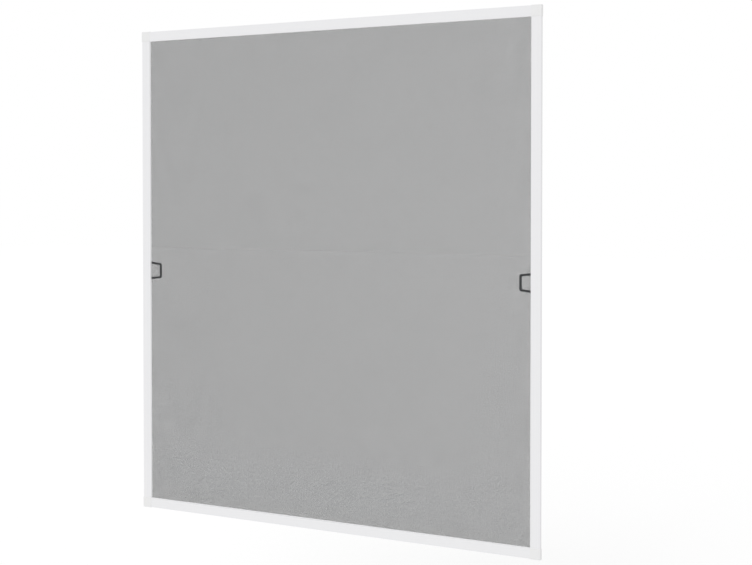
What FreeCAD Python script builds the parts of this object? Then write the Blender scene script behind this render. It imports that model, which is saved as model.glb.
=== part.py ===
# Insect screen for a window: a plug-together aluminium frame with a woven mesh,
# two pull handles, brush seals and four hanging hooks.
# Millimetres, +Z up, front (weather side) towards -Y, origin at the middle of the whole screen.
import FreeCAD
import Part

import os

# Frame over its profiles
frame_width = 1400.0
frame_height = 1500.0

# Frame profile: u runs from the outer edge inwards, v from the front face backwards
profile_face = 30.0
profile_depth = 9.0
wall = 1.2
mesh_recess = 6.0
groove_width = 5.2
groove_wall_rise = 1.0
slot_floor_thickness = 1.0
slot_lip = 1.0
slot_play = 0.3
brush_slot_width = 5.0
brush_mouth = 2.6
hook_slot_width = 7.0
hook_mouth = 4.4
profile_edge_radius = 0.7

# Corner pieces
corner_proud = 1.0
corner_radius = 2.0
corner_edge_radius = 0.8
corner_leg_length = 45.0
corner_leg_chamfer = 1.0
leg_clearance = 0.15

# Mesh and the cord that jams it into its groove
mesh_thickness = 0.5
mesh_flap_gap = 0.8
mesh_columns = 11
mesh_rows = 12
mesh_band = 50.0
spline_crown = 0.8
spline_edge_radius = 1.2
spline_clearance = 0.1

# Pull handles
handle_reach = 38.7
handle_root_width = 56.0
handle_bar_width = 46.0
handle_bar = 6.8
handle_leg = 6.4
handle_thickness = 3.8
handle_outer_radius = 7.0
handle_inner_radius = 3.0
handle_edge_radius = 0.9
handle_foot_thickness = 2.0
handle_foot_margin = 1.0
handle_foot_overhang = 4.0
handle_foot_radius = 3.0
handle_gap = 0.2
tenon_clearance = 0.2
tenon_length = 40.0

# Brush seals
brush_projection = 5.0
brush_clearance = 0.1

# Hanging hooks, bent from steel strip
hook_strip = 1.5
hook_width = 20.0
hook_inset = 200.0
hook_grip = 18.0
hook_lip_end = 2.0
hook_bend_radius = 0.8
hook_clearance = 0.2

# Lengths closer than this are the same
same_length = 0.0001

# Places across the profile
lip_u = profile_face - wall
groove_u = lip_u - groove_width
groove_wall_u = groove_u - wall
hook_slot_inner_u = groove_wall_u - wall
hook_slot_outer_u = hook_slot_inner_u - hook_slot_width
hook_slot_u = (hook_slot_inner_u + hook_slot_outer_u) / 2.0
brush_slot_inner_u = wall + brush_slot_width
brush_slot_u = (wall + brush_slot_inner_u) / 2.0

# Places through the depth
groove_wall_depth = mesh_recess + groove_wall_rise
slot_top = profile_depth - slot_lip
slot_bottom = slot_top - hook_strip - slot_play
slot_floor = slot_bottom - slot_floor_thickness
hook_face = profile_depth + hook_grip
hook_back = hook_face + hook_strip
front_y = -(hook_back - corner_proud) / 2.0

SIDES = {
    "top": (FreeCAD.Vector(0, 0, frame_height / 2.0), FreeCAD.Vector(0, 0, -1), FreeCAD.Vector(1, 0, 0)),
    "bottom": (FreeCAD.Vector(0, 0, -frame_height / 2.0), FreeCAD.Vector(0, 0, 1), FreeCAD.Vector(1, 0, 0)),
    "left": (FreeCAD.Vector(-frame_width / 2.0, 0, 0), FreeCAD.Vector(1, 0, 0), FreeCAD.Vector(0, 0, 1)),
    "right": (FreeCAD.Vector(frame_width / 2.0, 0, 0), FreeCAD.Vector(-1, 0, 0), FreeCAD.Vector(0, 0, 1)),
}
HALF_LENGTH = {
    "top": frame_width / 2.0,
    "bottom": frame_width / 2.0,
    "left": frame_height / 2.0,
    "right": frame_height / 2.0,
}
CORNERS = {
    "top_left": (-1, 1),
    "top_right": (1, 1),
    "bottom_left": (-1, -1),
    "bottom_right": (1, -1),
}


def point(side, along, u, v):
    """A point of one side of the frame, from its place along, across and through the profile."""
    edge, inward, run = SIDES[side]
    return edge + run * along + inward * u + FreeCAD.Vector(0, front_y + v, 0)


def bar(side, outline, start, end):
    """A bar along one side of the frame with a (u, v) outline as its section."""
    corners = [point(side, start, u, v) for u, v in outline]
    section = Part.Face(Part.makePolygon(corners + corners[:1]))
    return section.extrude(SIDES[side][2] * (end - start))


def rectangle(u0, u1, v0, v1):
    """The outline of a rectangle across the profile."""
    return [(u0, v0), (u1, v0), (u1, v1), (u0, v1)]


def corner_box(corner, across_x, across_z, depth):
    """A box at a corner of the frame, from its spans across both outer edges and through the depth."""
    sign_x, sign_z = CORNERS[corner]
    xs = sorted(sign_x * (frame_width / 2.0 - u) for u in across_x)
    zs = sorted(sign_z * (frame_height / 2.0 - u) for u in across_z)
    base = FreeCAD.Vector(xs[0], front_y + depth[0], zs[0])
    return Part.makeBox(xs[1] - xs[0], depth[1] - depth[0], zs[1] - zs[0], base)


def near(a, b):
    """True where two lengths are the same."""
    return abs(a - b) < same_length


def edges_along(shape, start, direction):
    """The edges of a shape that lie on the line through a point."""
    found = []
    for edge in shape.Edges:
        ends = [vertex.Point for vertex in edge.Vertexes]
        if len(ends) == 2 and all(near(end.distanceToLine(start, direction), 0.0) for end in ends):
            found.append(edge)
    return found


def edges_in_plane(shape, start, normal):
    """The edges of a shape that lie in the plane through a point."""
    found = []
    for edge in shape.Edges:
        reach = [(spot - start).dot(normal) for spot in edge.discretize(3)]
        if all(near(distance, 0.0) for distance in reach):
            found.append(edge)
    return found


def frame_profile(side):
    """One length of frame profile, cut square at both ends."""
    outline = [
        (0.0, 0.0),
        (profile_face, 0.0),
        (profile_face, mesh_recess),
        (lip_u, mesh_recess),
        (lip_u, wall),
        (groove_u, wall),
        (groove_u, groove_wall_depth),
        (groove_wall_u, groove_wall_depth),
        (groove_wall_u, profile_depth),
        (hook_slot_u + hook_mouth / 2.0, profile_depth),
        (hook_slot_u + hook_mouth / 2.0, slot_top),
        (hook_slot_inner_u, slot_top),
        (hook_slot_inner_u, slot_bottom),
        (hook_slot_outer_u, slot_bottom),
        (hook_slot_outer_u, slot_top),
        (hook_slot_u - hook_mouth / 2.0, slot_top),
        (hook_slot_u - hook_mouth / 2.0, profile_depth),
        (brush_slot_u + brush_mouth / 2.0, profile_depth),
        (brush_slot_u + brush_mouth / 2.0, slot_top),
        (brush_slot_inner_u, slot_top),
        (brush_slot_inner_u, slot_bottom),
        (wall, slot_bottom),
        (wall, slot_top),
        (brush_slot_u - brush_mouth / 2.0, slot_top),
        (brush_slot_u - brush_mouth / 2.0, profile_depth),
        (0.0, profile_depth),
    ]
    end = HALF_LENGTH[side] - profile_face
    chamber = bar(side, rectangle(wall, groove_wall_u, wall, slot_floor), -end, end)
    profile = bar(side, outline, -end, end).cut(chamber)
    run = SIDES[side][2]
    rounded = []
    for u, v in ((0.0, 0.0), (profile_face, 0.0), (0.0, profile_depth)):
        rounded += edges_along(profile, point(side, 0.0, u, v), run)
    return profile.makeFillet(profile_edge_radius, rounded)


def corner_piece(corner):
    """A square corner moulding with a leg for each of the two profiles that it joins."""
    body = corner_box(
        corner,
        (-corner_proud, profile_face),
        (-corner_proud, profile_face),
        (-corner_proud, profile_depth),
    )
    sign_x, sign_z = CORNERS[corner]
    outer_x = sign_x * (frame_width / 2.0 + corner_proud)
    outer_z = sign_z * (frame_height / 2.0 + corner_proud)
    outer = FreeCAD.Vector(outer_x, 0.0, outer_z)
    body = body.makeFillet(corner_radius, edges_along(body, outer, FreeCAD.Vector(0, 1, 0)))
    face = FreeCAD.Vector(0, front_y - corner_proud, 0)
    body = body.makeFillet(corner_edge_radius, edges_in_plane(body, face, FreeCAD.Vector(0, 1, 0)))
    pocket_depth = (wall, profile_depth)
    to_face = (groove_u, profile_face)
    to_lip = (groove_u, lip_u)
    body = body.cut(corner_box(corner, to_face, to_lip, pocket_depth))
    body = body.cut(corner_box(corner, to_lip, to_face, pocket_depth))
    post = (lip_u, profile_face)
    body = body.cut(corner_box(corner, post, post, (mesh_recess, profile_depth)))
    across = (wall + leg_clearance, groove_wall_u - leg_clearance)
    reach = (profile_face, profile_face + corner_leg_length)
    depth = (wall + leg_clearance, slot_floor - leg_clearance)
    tip_x = sign_x * (frame_width / 2.0 - reach[1])
    tip_z = sign_z * (frame_height / 2.0 - reach[1])
    rail_leg = corner_box(corner, reach, across, depth)
    rail_tip = edges_in_plane(rail_leg, FreeCAD.Vector(tip_x, 0, 0), FreeCAD.Vector(1, 0, 0))
    stile_leg = corner_box(corner, across, reach, depth)
    stile_tip = edges_in_plane(stile_leg, FreeCAD.Vector(0, 0, tip_z), FreeCAD.Vector(0, 0, 1))
    body = body.fuse(rail_leg.makeChamfer(corner_leg_chamfer, rail_tip))
    return body.fuse(stile_leg.makeChamfer(corner_leg_chamfer, stile_tip)).removeSplitter()


def insect_mesh():
    """The mesh: a thin wall with a plain grid of openings, its edges turned into the grooves."""
    edge_u = lip_u - mesh_thickness
    back = mesh_recess + mesh_thickness
    flap_end = wall + mesh_flap_gap
    half_x = frame_width / 2.0
    half_z = frame_height / 2.0
    tray = Part.makeBox(
        2.0 * (half_x - edge_u),
        back - flap_end,
        2.0 * (half_z - edge_u),
        FreeCAD.Vector(edge_u - half_x, front_y + flap_end, edge_u - half_z),
    )
    hollow = Part.makeBox(
        2.0 * (half_x - lip_u),
        mesh_recess - flap_end,
        2.0 * (half_z - lip_u),
        FreeCAD.Vector(lip_u - half_x, front_y + flap_end, lip_u - half_z),
    )
    cell_x = 2.0 * (half_x - profile_face) / mesh_columns
    cell_z = 2.0 * (half_z - profile_face) / mesh_rows
    openings = []
    for column in range(mesh_columns):
        for row in range(mesh_rows):
            corner = FreeCAD.Vector(
                profile_face - half_x + column * cell_x + mesh_band / 2.0,
                front_y + mesh_recess,
                profile_face - half_z + row * cell_z + mesh_band / 2.0,
            )
            openings.append(Part.makeBox(cell_x - mesh_band, mesh_thickness, cell_z - mesh_band, corner))
    return tray.cut([hollow] + openings)


def spline(side):
    """A length of the soft cord that jams the mesh into its groove."""
    outer_u = groove_u + spline_clearance
    inner_u = lip_u - mesh_thickness - spline_clearance
    top = mesh_recess + spline_crown
    end = HALF_LENGTH[side] - outer_u
    if side in ("left", "right"):
        end = HALF_LENGTH[side] - inner_u - spline_clearance
    strip = bar(side, rectangle(outer_u, inner_u, wall, top), -end, end)
    run = SIDES[side][2]
    rounded = []
    for u in (outer_u, inner_u):
        rounded += edges_along(strip, point(side, 0.0, u, top), run)
    return strip.makeFillet(spline_edge_radius, rounded)


def handle(side):
    """A flat loop to pull the screen by, on a foot that slides in the hook slot."""
    root_u = groove_wall_u + handle_gap
    bar_u = profile_face + handle_reach
    front = groove_wall_depth + handle_gap
    back = front + handle_thickness
    lift = FreeCAD.Vector(0, handle_thickness, 0)

    def trapezoid(start_u, end_u, inset):
        slope = (handle_root_width - handle_bar_width) / 2.0 / (bar_u - root_u)
        halves = [handle_root_width / 2.0 - inset - slope * (u - root_u) for u in (start_u, end_u)]
        corners = [
            point(side, -halves[0], start_u, front),
            point(side, -halves[1], end_u, front),
            point(side, halves[1], end_u, front),
            point(side, halves[0], start_u, front),
        ]
        prism = Part.Face(Part.makePolygon(corners + corners[:1])).extrude(lift)
        return prism, corners

    def rounded(prism, corners, radius):
        edges = []
        for corner in corners:
            edges += edges_along(prism, corner, lift)
        return prism.makeFillet(radius, edges)

    outer, outer_corners = trapezoid(root_u, bar_u, 0.0)
    inner, inner_corners = trapezoid(root_u - handle_leg, bar_u - handle_bar, handle_leg)
    loop = rounded(outer, outer_corners[1:3], handle_outer_radius)
    loop = loop.cut(rounded(inner, inner_corners[1:3], handle_inner_radius))
    root = edges_in_plane(loop, point(side, 0.0, root_u, front), SIDES[side][1])
    rims = []
    for depth in (front, back):
        rims += edges_in_plane(loop, point(side, 0.0, root_u, depth), lift)
    rims = [rim for rim in rims if not any(rim.isSame(edge) for edge in root)]
    loop = loop.makeFillet(handle_edge_radius, rims)

    foot_half = handle_root_width / 2.0
    foot_front = profile_depth
    foot_outer_u = hook_slot_outer_u - handle_foot_margin
    foot_inner_u = root_u + handle_foot_overhang
    foot_back = foot_front + handle_foot_thickness
    foot = bar(side, rectangle(foot_outer_u, foot_inner_u, foot_front, foot_back), -foot_half, foot_half)
    upright = FreeCAD.Vector(0, handle_foot_thickness, 0)
    foot_corners = []
    for half in (-foot_half, foot_half):
        foot_corners += edges_along(foot, point(side, half, foot_outer_u, foot_front), upright)
    foot = foot.makeFillet(handle_foot_radius, foot_corners)

    neck_half = hook_mouth / 2.0 - tenon_clearance
    head_half = hook_slot_width / 2.0 - tenon_clearance
    tenon_end = tenon_length / 2.0
    neck = rectangle(hook_slot_u - neck_half, hook_slot_u + neck_half, slot_top - hook_strip, foot_front)
    head = rectangle(hook_slot_u - head_half, hook_slot_u + head_half, slot_top - hook_strip, slot_top)
    tenon = bar(side, neck, -tenon_end, tenon_end).fuse(bar(side, head, -tenon_end, tenon_end))
    return loop.fuse([foot, tenon]).removeSplitter()


def brush_seal(side):
    """A brush strip: a stiff backing in its slot and the pile that stands out of the mouth."""
    end = HALF_LENGTH[side] - profile_face
    backing_top = slot_top - 2.0 * brush_clearance
    pile_half = brush_mouth / 2.0 - brush_clearance
    pile_end = profile_depth + brush_projection
    backing_inner_u = brush_slot_inner_u - brush_clearance
    backing = rectangle(wall + brush_clearance, backing_inner_u, slot_bottom, backing_top)
    pile = rectangle(brush_slot_u - pile_half, brush_slot_u + pile_half, slot_bottom, pile_end)
    return bar(side, backing, -end, end).fuse(bar(side, pile, -end, end)).removeSplitter()


def hook(corner):
    """A Z-bent hook: a foot in the slot, a web and a lip that catches behind the window's edge."""
    sign_x, sign_z = CORNERS[corner]
    side = "top" if sign_z > 0 else "bottom"
    middle = sign_x * (frame_width / 2.0 - hook_inset)
    web_outer_u = hook_slot_u - hook_strip / 2.0
    web_inner_u = hook_slot_u + hook_strip / 2.0
    foot_u = hook_slot_inner_u - hook_clearance
    foot_front = slot_top - hook_strip
    outline = [
        (web_outer_u, foot_front),
        (foot_u, foot_front),
        (foot_u, slot_top),
        (web_inner_u, slot_top),
        (web_inner_u, hook_back),
        (hook_lip_end, hook_back),
        (hook_lip_end, hook_face),
        (web_outer_u, hook_face),
    ]
    strip = bar(side, outline, middle - hook_width / 2.0, middle + hook_width / 2.0)
    run = SIDES[side][2]
    for u, v, radius in (
        (web_outer_u, hook_face, hook_bend_radius),
        (web_inner_u, hook_back, hook_bend_radius + hook_strip),
    ):
        strip = strip.makeFillet(radius, edges_along(strip, point(side, 0.0, u, v), run))
    return strip


def screen():
    """Every piece of the screen by its name."""
    pieces = {"insect_mesh": insect_mesh()}
    for side in SIDES:
        beam = "rail" if side in ("top", "bottom") else "stile"
        pieces[side + "_" + beam] = frame_profile(side)
        pieces[side + "_spline"] = spline(side)
        pieces[side + "_brush_seal"] = brush_seal(side)
    for side in ("left", "right"):
        pieces[side + "_handle"] = handle(side)
    for corner in CORNERS:
        pieces[corner + "_corner"] = corner_piece(corner)
        pieces[corner + "_hook"] = hook(corner)
    return pieces


os.makedirs("parts", exist_ok=True)
for name, piece in screen().items():
    piece.Solids[0].exportStep("parts/" + name + ".step")
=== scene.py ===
"""Dresses the window screen frame: its finishes, its woven mesh, its cords and its brush pile."""

import logging
import math
from dataclasses import dataclass, replace
from enum import Enum
from typing import Any

import bpy
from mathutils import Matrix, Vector


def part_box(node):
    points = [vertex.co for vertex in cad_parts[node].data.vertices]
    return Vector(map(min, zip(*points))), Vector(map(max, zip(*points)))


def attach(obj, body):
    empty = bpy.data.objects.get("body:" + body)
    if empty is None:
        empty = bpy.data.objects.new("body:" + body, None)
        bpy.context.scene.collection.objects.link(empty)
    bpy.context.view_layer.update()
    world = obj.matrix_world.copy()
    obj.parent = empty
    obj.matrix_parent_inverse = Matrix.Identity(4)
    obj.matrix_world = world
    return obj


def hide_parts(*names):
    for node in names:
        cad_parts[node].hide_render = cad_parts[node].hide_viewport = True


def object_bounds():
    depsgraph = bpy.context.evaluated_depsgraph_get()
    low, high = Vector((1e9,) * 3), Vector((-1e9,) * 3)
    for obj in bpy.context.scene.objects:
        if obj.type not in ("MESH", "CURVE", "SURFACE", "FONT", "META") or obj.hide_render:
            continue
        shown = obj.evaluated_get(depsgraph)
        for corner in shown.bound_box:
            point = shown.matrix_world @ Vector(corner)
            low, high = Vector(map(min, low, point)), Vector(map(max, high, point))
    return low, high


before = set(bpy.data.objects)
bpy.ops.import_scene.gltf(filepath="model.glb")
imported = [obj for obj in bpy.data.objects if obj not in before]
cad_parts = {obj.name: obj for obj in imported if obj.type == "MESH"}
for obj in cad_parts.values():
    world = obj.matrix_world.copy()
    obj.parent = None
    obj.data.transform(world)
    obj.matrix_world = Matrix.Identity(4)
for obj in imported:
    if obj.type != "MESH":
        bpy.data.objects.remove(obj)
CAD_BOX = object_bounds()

log = logging.getLogger("window_screen_frame")

MM = 0.001
UNIT = 1.0
QUARTER_TURN = math.pi / 2.0
BODY = "root"
CORNERS = tuple(f"{level}_{way}" for level in ("top", "bottom") for way in ("left", "right"))

# Sockets of the colour form of the Mix node, whose names repeat for each data type
MIX_FACTOR = 0
MIX_A = 6
MIX_B = 7
MIX_RESULT = 2

# The sRGB curve: a straight start up to the knee, then a power
SRGB_KNEE = 0.04045
SRGB_SLOPE = 12.92
SRGB_OFFSET = 0.055
SRGB_POWER = 2.4

# How rich the noise is that draws a finish's fine grain and its broad mottling
GRAIN_DETAIL = 2.0
MOTTLE_DETAIL = 3.0
MOTTLE_ROUGHNESS = 0.6


class Side(Enum):
    """The four sides of the frame."""

    TOP = "top"
    BOTTOM = "bottom"
    LEFT = "left"
    RIGHT = "right"

    @property
    def level(self) -> bool:
        """True for a side that runs along X."""
        return self in (Side.TOP, Side.BOTTOM)


class Grain(Enum):
    """How a finish's fine pattern is drawn out, as the scale of its coordinates."""

    EVEN = (1.0, 1.0, 1.0)
    ALONG_X = (0.04, 1.0, 1.0)
    ALONG_Z = (1.0, 1.0, 0.04)
    ROUND_BENDS = (1.0, 0.04, 0.04)


def linear(hex_colour: str) -> tuple[float, float, float, float]:
    """Turns an sRGB hex colour into linear light.

    Args:
        hex_colour: Six hex digits after a hash sign.

    Returns:
        Red, green, blue and a full alpha.
    """
    parts = [int(hex_colour[i:i + 2], 16) / 255.0 for i in (1, 3, 5)]
    red, green, blue = (
        part / SRGB_SLOPE if part <= SRGB_KNEE else ((part + SRGB_OFFSET) / (1.0 + SRGB_OFFSET)) ** SRGB_POWER
        for part in parts
    )
    return (red, green, blue, 1.0)


WHITE = linear("#FFFFFF")


def add_node(
    tree: bpy.types.NodeTree,
    kind: str,
    inputs: dict[str | int, Any] | None = None,
    **settings: Any,
) -> bpy.types.Node:
    """Adds one node with its settings and links.

    Args:
        tree: The node tree that gets the node.
        kind: The node's type.
        inputs: What each input socket holds: a value, or another node's output to link.
        settings: Properties of the node itself.

    Returns:
        The new node.
    """
    node = tree.nodes.new(kind)
    for name, value in settings.items():
        setattr(node, name, value)
    for socket, value in (inputs or {}).items():
        if isinstance(value, bpy.types.NodeSocket):
            tree.links.new(value, node.inputs[socket])
        else:
            node.inputs[socket].default_value = value
    return node


@dataclass(frozen=True)
class Finish:
    """A surface as it was made: two close tones, a fine grain and its gloss.

    Attributes:
        name: The material's common name and how its surface was made.
        tone: Its main colour.
        other_tone: The colour that its mottling reaches.
        mottle_mm: The width of one patch of mottling.
        grain_mm: The width of one pebble, scratch or fibre of the fine pattern.
        grain: How that pattern is drawn out.
        relief_mm: The height of the fine pattern.
        roughness: Its roughness.
        roughness_spread: How far the roughness varies to each side.
        metallic: One for bare metal.
        specular: The level of its plain reflections.
    """

    name: str
    tone: str
    other_tone: str
    mottle_mm: float
    grain_mm: float
    grain: Grain
    relief_mm: float
    roughness: float
    roughness_spread: float
    metallic: float = 0.0
    specular: float = 0.5

    def material(self) -> bpy.types.Material:
        """Builds the finish as shader nodes.

        Returns:
            The material.
        """
        made = bpy.data.materials.new(self.name)
        made.use_nodes = True
        tree = made.node_tree
        tree.nodes.clear()
        place = add_node(tree, "ShaderNodeTexCoord").outputs["Object"]
        drawn = add_node(tree, "ShaderNodeMapping", {"Vector": place, "Scale": self.grain.value})
        fine = add_node(
            tree,
            "ShaderNodeTexNoise",
            {
                "Vector": drawn.outputs["Vector"],
                "Scale": 1.0 / (self.grain_mm * MM),
                "Detail": GRAIN_DETAIL,
            },
        )
        broad = add_node(
            tree,
            "ShaderNodeTexNoise",
            {
                "Vector": place,
                "Scale": 1.0 / (self.mottle_mm * MM),
                "Detail": MOTTLE_DETAIL,
                "Roughness": MOTTLE_ROUGHNESS,
            },
        )
        tone = add_node(
            tree,
            "ShaderNodeMix",
            {MIX_FACTOR: broad.outputs["Fac"], MIX_A: linear(self.tone), MIX_B: linear(self.other_tone)},
            data_type="RGBA",
        )
        gloss = add_node(
            tree,
            "ShaderNodeMapRange",
            {
                "Value": fine.outputs["Fac"],
                "To Min": self.roughness - self.roughness_spread,
                "To Max": self.roughness + self.roughness_spread,
            },
        )
        relief = add_node(
            tree,
            "ShaderNodeBump",
            {"Height": fine.outputs["Fac"], "Distance": self.relief_mm * MM, "Strength": 1.0},
        )
        shader = add_node(
            tree,
            "ShaderNodeBsdfPrincipled",
            {
                "Base Color": tone.outputs[MIX_RESULT],
                "Roughness": gloss.outputs["Result"],
                "Normal": relief.outputs["Normal"],
                "Metallic": self.metallic,
                "Specular IOR Level": self.specular,
            },
        )
        add_node(tree, "ShaderNodeOutputMaterial", {"Surface": shader.outputs["BSDF"]})
        return made


# Powder coat fused on extruded aluminium: a soft even white with a faint orange-peel ripple in its
# reflections. The real ripple is about 1 mm wide and is drawn 4 mm wide so that it shows.
POWDER_COAT = Finish(
    name="white_powder_coat_on_aluminium",
    tone="#EFEFF0",
    other_tone="#ECECEE",
    mottle_mm=60.0,
    grain_mm=4.0,
    grain=Grain.EVEN,
    relief_mm=0.02,
    roughness=0.42,
    roughness_spread=0.05,
)

# Moulded ABS: a little warmer and flatter than the coat, with the fine matt of an etched mould.
WHITE_ABS = Finish(
    name="white_moulded_abs",
    tone="#EEEEEE",
    other_tone="#EAEAEA",
    mottle_mm=18.0,
    grain_mm=1.2,
    grain=Grain.EVEN,
    relief_mm=0.015,
    roughness=0.5,
    roughness_spread=0.06,
)

# Moulded glass-filled polyamide: near-black grey, matt, with a pebbled mould texture about 1 mm wide.
DARK_POLYAMIDE = Finish(
    name="dark_grey_moulded_polyamide",
    tone="#37383A",
    other_tone="#3F4042",
    mottle_mm=9.0,
    grain_mm=1.0,
    grain=Grain.EVEN,
    relief_mm=0.02,
    roughness=0.55,
    roughness_spread=0.08,
)

# Glass-fibre yarn coated in vinyl: dark grey with a dull sheen, a little lighter or darker in broad patches.
COATED_YARN = Finish(
    name="grey_vinyl_coated_glass_fibre",
    tone="#353638",
    other_tone="#3F4042",
    mottle_mm=35.0,
    grain_mm=1.0,
    grain=Grain.EVEN,
    relief_mm=0.02,
    roughness=0.55,
    roughness_spread=0.1,
    specular=0.3,
)

# Extruded soft vinyl: mid grey, matt and faintly waxy, with draw lines along its ribs.
SOFT_VINYL = Finish(
    name="grey_extruded_soft_vinyl_level",
    tone="#8B8D90",
    other_tone="#7F8184",
    mottle_mm=25.0,
    grain_mm=1.0,
    grain=Grain.ALONG_X,
    relief_mm=0.05,
    roughness=0.68,
    roughness_spread=0.08,
    specular=0.35,
)

# The same vinyl on the upright sides, with its draw lines upright too.
UPRIGHT_VINYL = replace(SOFT_VINYL, name="grey_extruded_soft_vinyl_upright", grain=Grain.ALONG_Z)

# Polypropylene pile: grey fibres that scatter the light. Its darker grey is painted shade for the gaps
# between tufts, mottled in at random in patches about 6 mm wide.
GREY_PILE = Finish(
    name="grey_polypropylene_pile",
    tone="#A8AAAD",
    other_tone="#808286",
    mottle_mm=6.0,
    grain_mm=0.8,
    grain=Grain.EVEN,
    relief_mm=0.1,
    roughness=0.85,
    roughness_spread=0.08,
    specular=0.2,
)

# Stainless strip: rolled along its length and bent about X, so its grey reflections are drawn out into
# fine lines that follow the bends.
STAINLESS_STRIP = Finish(
    name="brushed_stainless_strip",
    tone="#C3C4C6",
    other_tone="#B4B6B8",
    mottle_mm=15.0,
    grain_mm=0.6,
    grain=Grain.ROUND_BENDS,
    relief_mm=0.01,
    roughness=0.34,
    roughness_spread=0.1,
    metallic=1.0,
)


def select_only(piece: bpy.types.Object | None = None) -> None:
    """Deselects everything, then selects one piece if it is given.

    Args:
        piece: The piece to select and make active.
    """
    bpy.ops.object.select_all(action="DESELECT")
    if piece is not None:
        piece.select_set(True)
        bpy.context.view_layer.objects.active = piece


def apply_place(piece: bpy.types.Object) -> None:
    """Moves a piece's place, turn and scale into its mesh.

    Args:
        piece: The piece, which then sits at the origin.
    """
    select_only(piece)
    bpy.ops.object.transform_apply(location=True, rotation=True, scale=True)


def repeat(piece: bpy.types.Object, count: int, step: Vector) -> None:
    """Repeats a piece's mesh in a row.

    Args:
        piece: The piece to repeat.
        count: How many there are in the row.
        step: From one to the next.
    """
    select_only(piece)
    row = piece.modifiers.new("row", "ARRAY")
    row.use_relative_offset = False
    row.use_constant_offset = True
    row.constant_offset_displace = step
    row.count = count
    bpy.ops.object.modifier_apply(modifier=row.name)


def join(pieces: list[bpy.types.Object], name: str) -> bpy.types.Object:
    """Joins pieces into the first of them.

    Args:
        pieces: The pieces to join.
        name: The joined piece's name.

    Returns:
        The joined piece.
    """
    select_only(pieces[0])
    for piece in pieces[1:]:
        piece.select_set(True)
    bpy.ops.object.join()
    pieces[0].name = name
    pieces[0].data.name = name
    return pieces[0]


def select_points(piece: bpy.types.Object, wanted: list[bool]) -> None:
    """Selects some of a piece's points and opens it for editing.

    Args:
        piece: The piece to edit.
        wanted: One flag for each point.
    """
    select_only(piece)
    bpy.ops.object.mode_set(mode="EDIT")
    bpy.ops.mesh.select_mode(type="VERT")
    bpy.ops.mesh.select_all(action="DESELECT")
    bpy.ops.object.mode_set(mode="OBJECT")
    for point, flag in zip(piece.data.vertices, wanted):
        point.select = flag
    bpy.ops.object.mode_set(mode="EDIT")


def wear(piece: bpy.types.Object, material: bpy.types.Material) -> None:
    """Gives a piece one material all over.

    Args:
        piece: A new piece or a CAD node.
        material: Its finish.
    """
    piece.data.materials.clear()
    piece.data.materials.append(material)


def settle(piece: bpy.types.Object, slot: str, *nodes: str) -> None:
    """Puts a new piece on the body in place of the CAD nodes that it stands for.

    Args:
        piece: The new piece.
        slot: Not used.
        nodes: The CAD nodes that it replaces.
    """
    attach(piece, BODY)
    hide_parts(*nodes)
    log.info("piece %s: %d faces", piece.name, len(piece.data.polygons))


@dataclass
class DressedNodes:
    """CAD nodes that keep their shape and get a finish.

    Attributes:
        nodes: The nodes' names.
        finish: What they are made of.
    """

    nodes: tuple[str, ...]
    finish: Finish

    def dress(self) -> None:
        """Assigns the finish to every node."""
        material = self.finish.material()
        for node in self.nodes:
            wear(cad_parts[node], material)
            log.info("node %s: %s", node, material.name)


@dataclass
class FrameBars(DressedNodes):
    """The two rails and two stiles, cut from one extruded profile."""

    nodes: tuple[str, ...] = ("top_rail", "bottom_rail", "left_stile", "right_stile")
    finish: Finish = POWDER_COAT


@dataclass
class CornerPieces(DressedNodes):
    """The moulded corners that plug the bars together."""

    nodes: tuple[str, ...] = tuple(corner + "_corner" for corner in CORNERS)
    finish: Finish = WHITE_ABS


@dataclass
class PullHandles(DressedNodes):
    """The two loops by which the screen is pulled in."""

    nodes: tuple[str, ...] = ("left_handle", "right_handle")
    finish: Finish = DARK_POLYAMIDE


@dataclass
class HangingHooks(DressedNodes):
    """The bent strips that hang the screen."""

    nodes: tuple[str, ...] = tuple(corner + "_hook" for corner in CORNERS)
    finish: Finish = STAINLESS_STRIP


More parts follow.
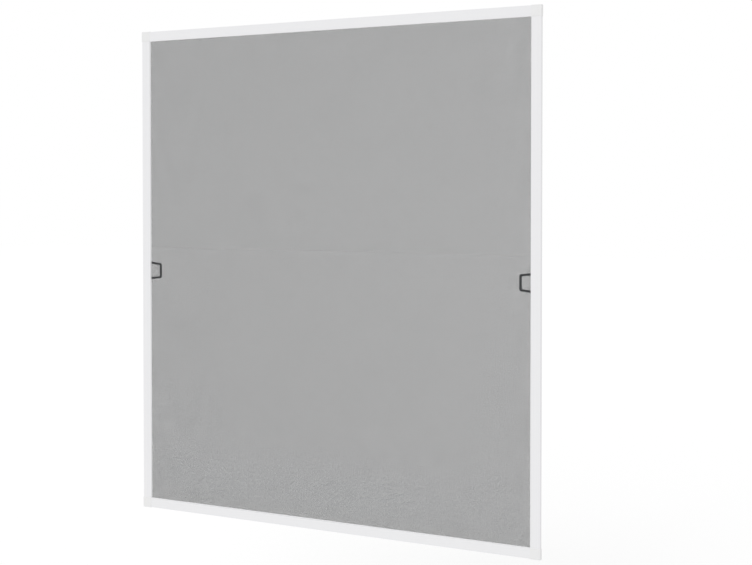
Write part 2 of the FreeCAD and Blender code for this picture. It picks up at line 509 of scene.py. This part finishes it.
@dataclass
class WovenMesh:
    """The insect mesh, thread by thread, with its edges turned into the grooves.

    Attributes:
        node: The CAD node that it stands for.
        pitch: From one thread to the next.
        thread: A thread's width.
        flatness: A thread's thickness as a share of its width.
        sides: The flats round a thread.
        lift: How far the two layers of threads lie apart.
        skin: The thickness of the CAD node's wall.
    """

    node: str = "insect_mesh"
    pitch: float = 1.0 * MM
    thread: float = 0.425 * MM
    flatness: float = 0.45
    sides: int = 6
    lift: float = 0.16 * MM
    skin: float = 0.5 * MM

    def layer(self, level: bool, depth: float) -> bpy.types.Object:
        """Lays the threads that run one way.

        Args:
            level: True for the threads along X.
            depth: The layer's place along Y.

        Returns:
            The layer of threads.
        """
        low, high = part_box(self.node)
        middle = (low + high) / 2.0
        size = high - low
        length, spread = (size.x, size.z) if level else (size.z, size.x)
        count = int((spread - self.thread) / self.pitch)
        first = -self.pitch * (count - 1) / 2.0
        if level:
            start = (middle.x, depth, middle.z + first)
            turn = (0.0, QUARTER_TURN, 0.0)
            step = Vector((0.0, 0.0, self.pitch))
        else:
            start = (middle.x + first, depth, middle.z)
            turn = (0.0, 0.0, 0.0)
            step = Vector((self.pitch, 0.0, 0.0))
        select_only()
        bpy.ops.mesh.primitive_cylinder_add(
            vertices=self.sides,
            radius=self.thread / 2.0,
            depth=length,
            location=start,
            rotation=turn,
        )
        layer = bpy.context.active_object
        apply_place(layer)
        bpy.ops.object.mode_set(mode="EDIT")
        bpy.ops.mesh.select_all(action="SELECT")
        bpy.ops.transform.resize(value=(1.0, self.flatness, 1.0), center_override=start)
        bpy.ops.object.mode_set(mode="OBJECT")
        repeat(layer, count, step)
        return layer

    def turned_edge(self, side: Side, depth: float) -> bpy.types.Object:
        """Makes the strip of mesh that is turned into one groove.

        Args:
            side: The side of the frame.
            depth: Where the strip leaves the flat mesh.

        Returns:
            The strip.
        """
        low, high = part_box(self.node)
        across = {
            Side.TOP: high.z - self.thread,
            Side.BOTTOM: low.z,
            Side.LEFT: low.x,
            Side.RIGHT: high.x - self.thread,
        }[side]
        length = (high.x - low.x) if side.level else (high.z - low.z)
        reach = depth - low.y
        select_only()
        bpy.ops.mesh.primitive_plane_add(size=UNIT)
        strip = bpy.context.active_object
        strip.scale = (length, reach, UNIT)
        middle_y = low.y + reach / 2.0
        if side.level:
            strip.location = (0.0, middle_y, across)
            thickness = (0.0, 0.0, self.thread)
        else:
            strip.rotation_euler = (0.0, -QUARTER_TURN, 0.0)
            strip.location = (across, middle_y, 0.0)
            thickness = (self.thread, 0.0, 0.0)
        apply_place(strip)
        bpy.ops.object.mode_set(mode="EDIT")
        bpy.ops.mesh.select_all(action="SELECT")
        bpy.ops.mesh.extrude_region_move(TRANSFORM_OT_translate={"value": thickness})
        bpy.ops.mesh.select_all(action="SELECT")
        bpy.ops.mesh.normals_make_consistent(inside=False)
        bpy.ops.object.mode_set(mode="OBJECT")
        return strip

    def build(self) -> None:
        """Makes the mesh, gives it its finish and puts it in place."""
        low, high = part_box(self.node)
        flat_depth = high.y - self.skin / 2.0
        layers = [
            self.layer(True, flat_depth + self.lift / 2.0),
            self.layer(False, flat_depth - self.lift / 2.0),
        ]
        edges = [self.turned_edge(side, flat_depth) for side in Side]
        mesh = join(layers + edges, "woven_insect_mesh")
        wear(mesh, COATED_YARN.material())
        # The threads are drawn thicker than real ones, so they are kept from dimming the bounced light
        mesh.visible_diffuse = False
        settle(mesh, "mesh_cloth", self.node)


@dataclass
class RetainingCord:
    """A ribbed cord that jams the mesh into the groove along one side.

    Attributes:
        side: The side of the frame.
        ribs: The ribs round the cord.
        valley: How far the valleys between ribs lie in, as a share of the cord.
    """

    side: Side
    ribs: int = 10
    valley: float = 0.86

    def build(self, material: bpy.types.Material) -> None:
        """Makes the cord in the place of its CAD node.

        Args:
            material: Its finish.
        """
        node = self.side.value + "_spline"
        low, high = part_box(node)
        size = high - low
        select_only()
        bpy.ops.mesh.primitive_cylinder_add(
            vertices=2 * self.ribs,
            radius=UNIT / 2.0,
            depth=UNIT,
            end_fill_type="NGON",
        )
        cord = bpy.context.active_object
        cord.name = node + "_cord"
        cord.data.name = cord.name
        if self.side.level:
            cord.rotation_euler = (0.0, QUARTER_TURN, 0.0)
            cord.scale = (size.z, size.y, size.x)
        else:
            cord.scale = (size.x, size.y, size.z)
        cord.location = (low + high) / 2.0
        wanted = [self.in_valley(point.co) for point in cord.data.vertices]
        select_points(cord, wanted)
        bpy.ops.transform.resize(value=(self.valley, self.valley, 1.0), orient_type="LOCAL")
        bpy.ops.object.mode_set(mode="OBJECT")
        apply_place(cord)
        wear(cord, material)
        settle(cord, "spline_rubber", node)

    def in_valley(self, place: Vector) -> bool:
        """Tells whether a point of the plain cord lies in a valley.

        Args:
            place: The point, about the cord's axis.

        Returns:
            True for every second point round the cord.
        """
        turn = math.atan2(place.y, place.x) / (2.0 * math.pi)
        return round(turn * 2 * self.ribs) % 2 == 1


@dataclass
class BrushSeal:
    """The brush strip along one side: a stiff backing and its rows of tufts.

    Attributes:
        side: The side of the frame.
        pitch: From one tuft to the next.
        rows: The rows of tufts.
        backing: The backing's thickness.
        pile: The width of all rows together.
        tuft: The radius of a tuft at its foot.
        tip: The radius of a tuft's tip as a share of its foot's.
        tuft_sides: The flats round a tuft.
        ragged: How far a tuft's tip strays.
        bevel: The width of the backing's bevelled edges.
        bevel_steps: The flats across each bevel.
        seed: Starts the random draw.
    """

    side: Side
    pitch: float = 0.9 * MM
    rows: int = 4
    backing: float = 1.6 * MM
    pile: float = 2.4 * MM
    tuft: float = 0.42 * MM
    tip: float = 1.0 / 3.0
    tuft_sides: int = 4
    ragged: float = 0.35 * MM
    bevel: float = 0.2 * MM
    bevel_steps: int = 2
    seed: int = 11

    def tufts(self, low: Vector, high: Vector) -> bpy.types.Object:
        """Sets the tufts of the pile.

        Args:
            low: The seal's lowest corner.
            high: Its highest corner.

        Returns:
            All tufts as one piece.
        """
        along_x, along_z = Vector((1.0, 0.0, 0.0)), Vector((0.0, 0.0, 1.0))
        run, over = (along_x, along_z) if self.side.level else (along_z, along_x)
        length = (high - low).dot(run)
        foot = low.y + self.backing
        height = high.y - self.ragged - foot
        middle = (low + high) / 2.0
        count = int((length - 2.0 * self.tuft) / self.pitch)
        row_step = (self.pile - 2.0 * self.tuft) / (self.rows - 1)
        first = run * (-self.pitch * (count - 1) / 2.0) + over * (-row_step * (self.rows - 1) / 2.0)
        select_only()
        bpy.ops.mesh.primitive_cone_add(
            vertices=self.tuft_sides,
            radius1=self.tuft,
            radius2=self.tuft * self.tip,
            depth=height,
            location=Vector((middle.x, foot + height / 2.0, middle.z)) + first,
            rotation=(-QUARTER_TURN, 0.0, 0.0),
        )
        pile = bpy.context.active_object
        apply_place(pile)
        repeat(pile, self.rows, over * row_step)
        repeat(pile, count, run * self.pitch)
        half_way = foot + height / 2.0
        select_points(pile, [point.co.y > half_way for point in pile.data.vertices])
        bpy.ops.transform.vertex_random(offset=self.ragged, seed=self.seed)
        bpy.ops.object.mode_set(mode="OBJECT")
        return pile

    def strip(self, low: Vector, high: Vector) -> bpy.types.Object:
        """Makes the backing that sits in the slot.

        Args:
            low: The seal's lowest corner.
            high: Its highest corner.

        Returns:
            The backing.
        """
        select_only()
        bpy.ops.mesh.primitive_cube_add(size=UNIT)
        strip = bpy.context.active_object
        middle = (low + high) / 2.0
        strip.scale = (high.x - low.x, self.backing, high.z - low.z)
        strip.location = (middle.x, low.y + self.backing / 2.0, middle.z)
        apply_place(strip)
        bpy.ops.object.mode_set(mode="EDIT")
        bpy.ops.mesh.select_all(action="SELECT")
        bpy.ops.mesh.bevel(offset=self.bevel, segments=self.bevel_steps, affect="EDGES")
        bpy.ops.object.mode_set(mode="OBJECT")
        return strip

    def build(self, material: bpy.types.Material) -> None:
        """Makes the seal in the place of its CAD node.

        Args:
            material: Its finish.
        """
        node = self.side.value + "_brush_seal"
        low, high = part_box(node)
        seal = join([self.strip(low, high), self.tufts(low, high)], self.side.value + "_brush_pile")
        wear(seal, material)
        settle(seal, "brush_pile", node)


@dataclass
class Studio:
    """A pale floor, soft light all round and the camera.

    Attributes:
        drop: From the screen's lower edge to the floor.
        floor_size: The floor's width.
        floor_tone: The floor's colour.
        floor_glow: What lifts the floor to the white of the background where it is seen.
        ambient: The light from all round.
        key: The light of the lamp.
        key_softness: How wide the lamp looks, in degrees.
        key_towards: The way in which the lamp shines.
        eye: The camera's place.
        yaw: How far the camera turns to the left of +Y, in degrees.
        pitch: How far it looks down, in degrees.
        lens: Its focal length in millimetres.
        sensor: The width of its sensor in millimetres.
        shift_y: Its shift, as a share of the picture's width.
    """

    drop: float = 0.5
    floor_size: float = 60.0
    floor_tone: str = "#FBFBFB"
    floor_glow: float = 0.165
    ambient: float = 0.78
    key: float = 0.58
    key_softness: float = 40.0
    key_towards: tuple[float, float, float] = (-0.15, 0.86, -0.5)
    eye: tuple[float, float, float] = (2.6446, -3.8948, 0.2438)
    yaw: float = 32.48
    pitch: float = 1.5
    lens: float = 76.767
    sensor: float = 36.0
    shift_y: float = -0.063

    def seen_directly(self, tree: bpy.types.NodeTree) -> bpy.types.NodeSocket:
        """Finds the rays that show the background itself, in the picture, in gloss or through glass.

        Args:
            tree: The tree that asks.

        Returns:
            One for such a ray and nought for the others.
        """
        path = add_node(tree, "ShaderNodeLightPath")
        seen = path.outputs["Is Camera Ray"]
        for name in ("Is Glossy Ray", "Is Transmission Ray"):
            seen = add_node(
                tree,
                "ShaderNodeMath",
                {0: seen, 1: path.outputs[name]},
                operation="MAXIMUM",
            ).outputs["Value"]
        return seen

    def surround(self) -> None:
        """Lights the screen evenly and shows white behind it."""
        world = bpy.data.worlds.new("soft_white_surround")
        world.use_nodes = True
        bpy.context.scene.world = world
        tree = world.node_tree
        tree.nodes.clear()
        light = add_node(tree, "ShaderNodeBackground", {"Color": WHITE, "Strength": self.ambient})
        shown = add_node(tree, "ShaderNodeBackground", {"Color": WHITE, "Strength": 1.0})
        mixed = add_node(
            tree,
            "ShaderNodeMixShader",
            {0: self.seen_directly(tree), 1: light.outputs["Background"], 2: shown.outputs["Background"]},
        )
        add_node(tree, "ShaderNodeOutputWorld", {"Surface": mixed.outputs["Shader"]})

    def floor(self) -> None:
        """Lays the floor well under the hung screen."""
        low = CAD_BOX[0]
        select_only()
        bpy.ops.mesh.primitive_plane_add(size=self.floor_size, location=(0.0, 0.0, low.z - self.drop))
        floor = bpy.context.active_object
        floor.name = "floor"
        made = bpy.data.materials.new("pale_matt_floor")
        made.use_nodes = True
        tree = made.node_tree
        tree.nodes.clear()
        matt = add_node(tree, "ShaderNodeBsdfDiffuse", {"Color": linear(self.floor_tone)})
        glow = add_node(tree, "ShaderNodeEmission", {"Color": WHITE, "Strength": self.floor_glow})
        none = add_node(tree, "ShaderNodeEmission", {"Strength": 0.0})
        lifted = add_node(
            tree,
            "ShaderNodeMixShader",
            {0: self.seen_directly(tree), 1: none.outputs["Emission"], 2: glow.outputs["Emission"]},
        )
        both = add_node(tree, "ShaderNodeAddShader", {0: matt.outputs["BSDF"], 1: lifted.outputs["Shader"]})
        add_node(tree, "ShaderNodeOutputMaterial", {"Surface": both.outputs["Shader"]})
        wear(floor, made)

    def lamp(self) -> None:
        """Hangs the soft key lamp in front, a little to the right and above."""
        data = bpy.data.lights.new("soft_key", "SUN")
        data.energy = self.key
        data.angle = math.radians(self.key_softness)
        lamp = bpy.data.objects.new("soft_key", data)
        lamp.rotation_euler = Vector(self.key_towards).to_track_quat("-Z", "Y").to_euler()
        bpy.context.scene.collection.objects.link(lamp)

    def camera(self) -> None:
        """Stands the camera where the picture was taken from."""
        data = bpy.data.cameras.new("camera")
        data.sensor_fit = "HORIZONTAL"
        data.sensor_width = self.sensor
        data.lens = self.lens
        data.shift_y = self.shift_y
        camera = bpy.data.objects.new("camera", data)
        camera.location = self.eye
        camera.rotation_euler = (QUARTER_TURN - math.radians(self.pitch), 0.0, math.radians(self.yaw))
        bpy.context.scene.collection.objects.link(camera)
        bpy.context.scene.camera = camera

    def build(self) -> None:
        """Sets the whole studio up."""
        self.surround()
        self.floor()
        self.lamp()
        self.camera()
        bpy.context.scene.view_settings.view_transform = "Standard"


def main() -> None:
    """Builds and dresses the screen, then the studio around it."""
    logging.basicConfig(level=logging.INFO, format="%(name)s: %(message)s")
    FrameBars().dress()
    CornerPieces().dress()
    PullHandles().dress()
    HangingHooks().dress()
    level_vinyl = SOFT_VINYL.material()
    upright_vinyl = UPRIGHT_VINYL.material()
    pile = GREY_PILE.material()
    for side in Side:
        RetainingCord(side).build(level_vinyl if side.level else upright_vinyl)
        BrushSeal(side).build(pile)
    WovenMesh().build()
    Studio().build()


if __name__ == "__main__":
    main()
